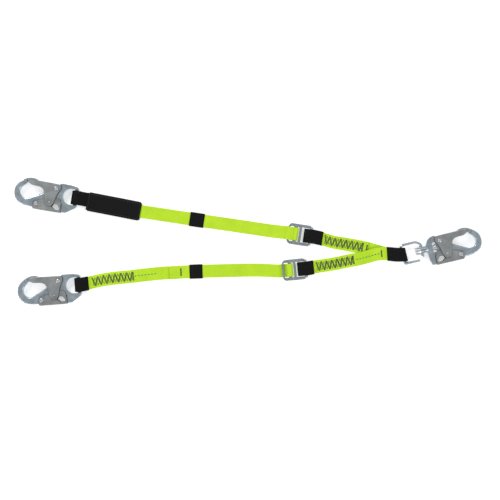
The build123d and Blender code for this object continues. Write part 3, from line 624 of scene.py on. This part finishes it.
floor_me = bpy.data.meshes.new("floor")
floor_me.from_pydata([(-9, -9, 0), (9, -9, 0), (9, 9, 0), (-9, 9, 0)], [], [(0, 1, 2, 3)])
floor = bpy.data.objects.new("floor", floor_me)
floor.location.z = -0.0004
bpy.context.scene.collection.objects.link(floor)
fm, fnt, fb = new_mat("floor_white")
fb.inputs["Base Color"].default_value = (0.95, 0.95, 0.95, 1)
fb.inputs["Roughness"].default_value = 0.95
fb.inputs["Specular IOR Level"].default_value = 0.1
fb.inputs["Emission Color"].default_value = (1, 1, 1, 1)
fb.inputs["Emission Strength"].default_value = 0.46
floor_me.materials.append(fm)

# a soft studio: a dim ceiling straight above, bright walls of light round it
world = bpy.data.worlds.new("studio")
bpy.context.scene.world = world
world.use_nodes = True
wt = world.node_tree
wtex = wt.nodes.new("ShaderNodeTexCoord")
wsep = wt.nodes.new("ShaderNodeSeparateXYZ")
wt.links.new(wtex.outputs["Generated"], wsep.inputs[0])
wt.links.new(ramp(wt, wsep.outputs[2], [(0.0, (0.1, 0.104, 0.11)), (0.34, (0.07, 0.073, 0.078)), (0.5, (0.95, 0.97, 1.0)),
                                        (0.76, (1.0, 1.0, 1.0)), (0.89, (0.62, 0.64, 0.67)), (1.0, (0.42, 0.44, 0.46))]),
             wt.nodes["Background"].inputs[0])
wt.nodes["Background"].inputs[1].default_value = 0.95
bpy.context.scene.view_settings.view_transform = "Standard"


def area(name, loc, target, size, power, size_y=None):
    d = bpy.data.lights.new(name, "AREA")
    d.energy = power
    d.size = size
    if size_y:
        d.shape = "RECTANGLE"
        d.size_y = size_y
    o = bpy.data.objects.new(name, d)
    o.location = loc
    o.rotation_euler = (Vector(target) - Vector(loc)).to_track_quat("-Z", "Y").to_euler()
    bpy.context.scene.collection.objects.link(o)


area("key", (-0.9, 1.3, 1.35), (0, 0, 0), 0.6, 14)
area("fill", (1.5, -0.9, 1.2), (0, 0, 0), 0.7, 8)
area("side", (-1.6, -1.0, 1.0), (0, 0, 0), 0.6, 5)

# ---- webbing ---------------------------------------------------------------------------------
EDGE = 1.0
THK = 2.2


def s_at(fr, x_px, lo=0.0, hi=1.0):
    x = (x_px - 249.0) * 1.947 - CENTRE[0]
    pos, s = fr[0], fr[4]
    i0, i1 = int(lo * (len(s) - 1)), int(hi * (len(s) - 1))
    seg = slice(i0, i1 + 1)
    k = int(np.argmin(np.abs(pos[seg, 0] - x)))
    return float(s[seg][k])


fr_um, fr_ut = frames(UP_MAIN, 1.0, 7.0), frames(UP_TAIL, 1.5, 7.0)
fr_lm, fr_lt = frames(LO_MAIN, 1.0, 9.0), frames(LO_TAIL, 1.5, 7.0)
fr_ub, fr_lb = frames(UP_BEND, 0.7), frames(LO_BEND, 0.7)
for fr in (fr_ub, fr_lb):        # the bend meets the long strands with no gap showing
    fr[0][0] -= fr[3][0] * 0.25
    fr[0][-1] += fr[3][-1] * 0.25
fr_y = frames(YOKE, 1.0, 7.0)

def folded(s, total):
    """A tail's free end is turned over on itself and sewn down, so it is thicker there."""
    f = min(1.0, max(0.0, (s - (total - 21.0)) / 4.0))
    return 1.0 + 0.28 * f * f * (3 - 2 * f)


web_um = skin("web_leg_upper", None, WEB_W, THK, EDGE, frame_data=fr_um)
web_ut = skin("web_tail_upper", None, WEB_W, THK, EDGE, frame_data=fr_ut, tfun=folded)
web_lm = skin("web_leg_lower", None, WEB_W, THK, EDGE, frame_data=fr_lm)
web_lt = skin("web_tail_lower", None, WEB_W, THK, EDGE, frame_data=fr_lt, tfun=folded)
web_ub = skin("web_bend_upper", None, WEB_W, THK, EDGE, frame_data=fr_ub)
web_lb = skin("web_bend_lower", None, WEB_W, THK, EDGE, frame_data=fr_lb)
web_y = skin("web_yoke", None, WEB_W, THK, EDGE, frame_data=fr_y)
for ob, node in ((web_um, "leg_strap_upper"), (web_ut, "strap_tail_upper"), (web_lm, "leg_strap_lower"),
                 (web_lt, "strap_tail_lower"), (web_ub, "strap_bend_upper"), (web_lb, "strap_bend_lower"),
                 (web_y, "yoke_strap")):
    paint(ob, LIME)
    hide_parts(node)
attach(web_ub, "slider_upper")
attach(web_lb, "slider_lower")
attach(web_y, "yoke")
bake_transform(web_um)
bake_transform(web_lm)
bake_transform(web_ut)
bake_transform(web_lt)

# ---- wear sleeves, keepers -----------------------------------------------------------------
SW, ST = WEB_W + 2 * GAP + 2 * SLV_WALL, WEB_T + 2 * GAP + 2 * SLV_SKIN
for name, fr, a, b, more, body in (
        ("eye_sleeve_upper", fr_um, u_loop[1], u_loop[-2], 4.4, "leg_upper"),
        ("eye_sleeve_lower", fr_lm, l_loop[1], l_loop[-2], 1.0, "leg_lower"),
        ("adjuster_sleeve_upper", fr_y, uy_loop[1], uy_loop[-2], 0.5, "yoke"),
        ("adjuster_sleeve_lower", fr_y, ly_loop[1], ly_loop[-2], 0.5, "yoke"),
        ("link_sleeve", fr_y, e_in[0], e_out[0], 0.5, "yoke")):
    ob = hollow("soft_" + name, None, SW, ST, WEB_W + 0.1, WEB_T + 0.1, 1.0, frame_data=part_of(fr, a, b, more, more))
    ride(ob, body, BLACK)
    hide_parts(name)
for name, a, b, body in (("strap_keeper_upper", px(190, 218.8, 3.78, 81.5), px(204, 220.9, 3.78, 81.5), "tail_upper"),
                         ("strap_keeper_lower", px(189.8, 271.75, 3.83, 92.2), px(202.5, 271.3, 3.83, 91.9), "tail_lower")):
    mid = between(a, b, 0.5)
    ob = hollow("soft_" + name, [a, mid, b], WEB_W + 2.4, 7.3, WEB_W + 0.7, 5.5, 1.6, 1.5,
                tfun=lambda s, t: 0.955 + 0.045 * math.sin(math.pi * s / t) ** 0.5 if 0 < s < t else 0.955)
    ride(ob, body, BLACK)
    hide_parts(name)

# ---- label cover -----------------------------------------------------------------------------
def cover_w(s, total):
    e = min(s, total - s)
    r = 4.5
    return 1.0 if e > r else 1.0 - (r - math.sqrt(max(0.0, r * r - (r - e) ** 2))) * 2 / COVER_W


cover = [px(87.3, 201.15, 4.3, 80)] + cover[1:]
fr_c = frames(cover, 1.0)
cov = hollow("soft_label_cover", None, COVER_W, 8.2, COVER_W - 4.5, 6.3, 2.2, 1.0, frame_data=fr_c, wfun=cover_w,
             tfun=lambda s, t: 0.9 + 0.1 * min(1.0, min(s, t - s) / 6.0))
ride(cov, "leg_upper", COVER)
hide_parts("label_cover")
L = fr_c[4][-1]
edge = [[(2.2, -14.8), (L - 2.2, -14.8)], [(2.2, 14.8), (L - 2.2, 14.8)], [(2.4, -14.4), (2.4, 14.4)],
        [(L - 2.4, -14.4), (L - 2.4, 14.4)]]
ob = stitches("cover_edge_stitching", fr_c, edge, 1, thick=4.02, stitch=3.0, gap=1.0, r=0.34)
ride(ob, "leg_upper", GREY)


# ---- stitching: zigzag lock stitch, end blocks, centre run and bartacks ------------------------
def zigzag(s0, s1, half, count, shift=0.0):
    return [(s0 + shift + (s1 - s0) * k / (count * 2), half if k % 2 == 0 else -half) for k in range(count * 2 + 1)]


def centre_run(s0, s1):
    return [[(s0, 0.0), (s1, 0.0)]]


def sgn_top(fr, s0):
    return 1 if on_path(fr, s0, 0, 0)[1][2] > 0 else -1


def sewn(tag, fr, body, x0, x1, lo, hi, count, dash=None, tack=None):
    a, b = sorted((s_at(fr, x0, lo, hi), s_at(fr, x1, lo, hi)))
    sg = sgn_top(fr, (a + b) / 2)
    runs = [zigzag(a, b - 2.4, 8.8, count, d) for d in (0.0, 1.1, 2.2)]
    runs.append([(u, -v) for u, v in zigzag(a, b - 2.4, 8.0, count, 1.1)])
    end = (b, -1) if on_path(fr, b, 0, 0)[0][0] > on_path(fr, a, 0, 0)[0][0] else (a, 1)
    runs += [[(end[0] + end[1] * d, -8.6), (end[0] + end[1] * d, 8.6)] for d in (-0.6, 0.4, 1.4)]
    ob = stitches("stitch_w_" + tag, fr, runs, sg, thick=THK / 2, stitch=2.4, gap=0.4, r=0.6)
    ride(ob, body, TEAL)
    if dash:
        a, b = sorted((s_at(fr, dash[0], lo, hi), s_at(fr, dash[1], lo, hi)))
        ob = stitches("stitch_centre_" + tag, fr, centre_run(a, b), sg, thick=THK / 2, stitch=6.0, gap=2.4, r=1.0)
        ride(ob, body, GREEN)
    if tack:
        for i, x in enumerate(tack):
            a = s_at(fr, x, lo, hi)
            rows = [[(a + d, -6.8), (a + d, 6.8)] for d in (-0.9, 0.0, 0.9)]
            ob = stitches("bartack_%s_%d" % (tag, i), fr, rows, sg, thick=THK / 2, stitch=1.6, gap=0.2, r=0.6)
            ride(ob, body, TEAL)


sewn("lower_leg", fr_lm, "leg_lower", 92, 133.5, 0.3, 1.0, 7, dash=(134, 157))
sg = sgn_top(fr_lt, s_at(fr_lt, 180.7))
a = s_at(fr_lt, 180.7)
ob = stitches("bartack_tail_lower", fr_lt, [[(a + d, -7.5), (a + d, 7.5)] for d in (-0.9, 0.0, 0.9)], sg, thick=THK / 2,
              stitch=1.6, gap=0.2, r=0.6)
ride(ob, "tail_lower", TEAL)
sewn("upper_yoke", fr_y, "yoke", 324, 363, 0.0, 0.16, 7, tack=(367,))
sewn("lower_yoke", fr_y, "yoke", 316, 354, 0.55, 0.86, 7, dash=(356, 380), tack=(382,))


def dress(node, mat, bevel=0.0, angle=35.0, segs=3):
    ob = nodes[node]
    ob.data.materials.clear()
    ob.data.materials.append(mat)
    if bevel:
        w = ob.modifiers.new("weld", "WELD")
        w.merge_threshold = 0.000001
        b = ob.modifiers.new("edge", "BEVEL")
        b.width = bevel * 0.001
        b.segments = segs
        b.limit_method = "ANGLE"
        b.angle_limit = math.radians(angle)
        b.harden_normals = False
        b.use_clamp_overlap = True


for t in ("upper", "lower", "tail"):
    dress("hook_body_" + t, FORGED, 1.0, 40, 3)
    dress("gate_" + t, STAMPED, 0.55, 40, 3)
    dress("lock_lever_" + t, STAMPED, 0.55, 40, 3)
    dress("gate_rivet_" + t, RIVET)
    dress("lock_rivet_" + t, RIVET)
    dress("gate_pin_" + t, RIVET, 0.3)
    dress("gate_spring_" + t, SPRING)
    dress("lock_spring_" + t, SPRING)
dress("swivel_pin", RIVET, 0.5)
dress("swivel_link", BRIGHT)
for t in ("upper", "lower"):
    dress("adjuster_frame_" + t, BRIGHT, 0.7, 30, 3)
    dress("slide_bar_" + t, BRIGHT, 0.3, 40, 2)
dress("label_booklet", PAPER)
dress("cover_tape", GREY)
